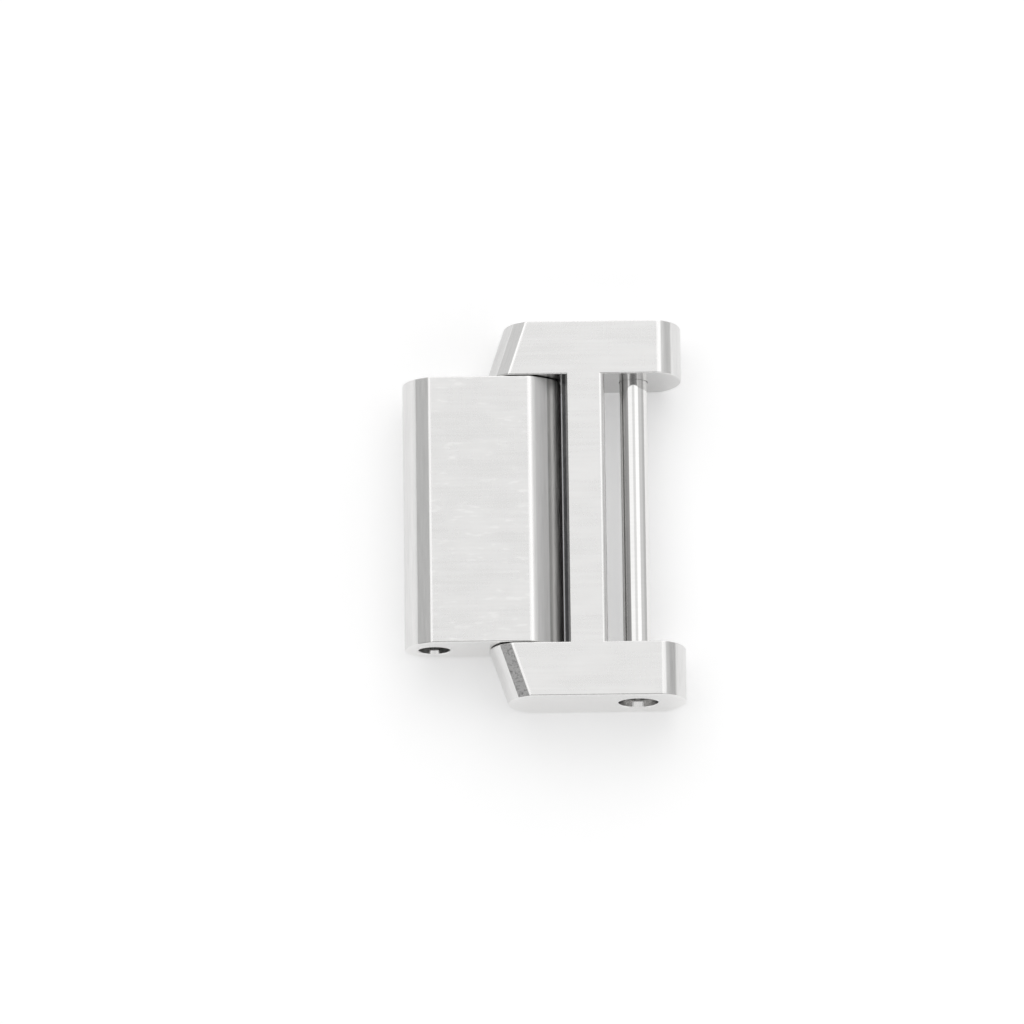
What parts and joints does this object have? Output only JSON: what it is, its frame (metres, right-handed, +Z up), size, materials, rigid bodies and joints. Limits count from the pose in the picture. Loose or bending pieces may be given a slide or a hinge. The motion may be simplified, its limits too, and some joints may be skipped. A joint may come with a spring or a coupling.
{
  "type": "watch bracelet link",
  "caption": "Steel bracelet link: H-shaped outer link with a screw bar between its arms and a hinged centre link with a bare bore.",
  "frame": {"origin": "under the middle of the link, on the plane that its underside lies on", "axes": "+X along the bracelet from the centre link's free end to the screw bar, +Y across the bracelet to the arm with the closing screw, +Z up through the brushed faces"},
  "size_m": [0.016, 0.022, 0.0044],
  "materials": {
    "brushed_steel": "fine lengthwise brushing with polished bevels",
    "polished_steel": "mirror polished",
    "turned_steel": "turned",
    "spring_steel": "drawn wire"
  },
  "bodies": {
    "outer": {"outer_link": "brushed_steel"},
    "centre": {"centre_link": "brushed_steel"},
    "hinge_bar": {"hinge_barrel": "turned_steel", "hinge_spring": "spring_steel"},
    "tip_near": {"hinge_tip_near": "turned_steel"},
    "tip_far": {"hinge_tip_far": "turned_steel"},
    "sleeve": {"bar_sleeve": "polished_steel"},
    "screw": {"bar_screw": "polished_steel"}
  },
  "joints": [
    {"name": "centre_link_hinge", "type": "hinge", "parent": "outer", "child": "centre", "pos_m": [-0.00061, 0, 0.00225], "axis": [0, -1, 0], "range_deg": [-50, 80]},
    {"name": "hinge_bar_spin", "type": "hinge", "parent": "outer", "child": "hinge_bar", "pos_m": [-0.00061, 0, 0.00225], "axis": [0, 1, 0], "continuous": true},
    {"name": "near_tip_press", "type": "slide", "parent": "hinge_bar", "child": "tip_near", "axis": [0, 1, 0], "range_m": [0, 0.00105], "stiffness_N_per_m": 800, "springref_m": -0.002, "deforming": ["hinge_spring"]},
    {"name": "far_tip_press", "type": "slide", "parent": "hinge_bar", "child": "tip_far", "axis": [0, -1, 0], "range_m": [0, 0.00105]},
    {"name": "sleeve_turn", "type": "hinge", "parent": "outer", "child": "sleeve", "pos_m": [0.00524, 0, 0.00225], "axis": [0, -1, 0], "range_deg": [0, 2160]},
    {"name": "screw_out", "type": "slide", "parent": "outer", "child": "screw", "axis": [0, 1, 0], "range_m": [0, 0.0018]}
  ],
  "couplings": [
    {"joint": "far_tip_press", "follows": "near_tip_press", "ratio": 1},
    {"joint": "sleeve_turn", "follows": "screw_out", "rad_per_m": 20944}
  ]
}
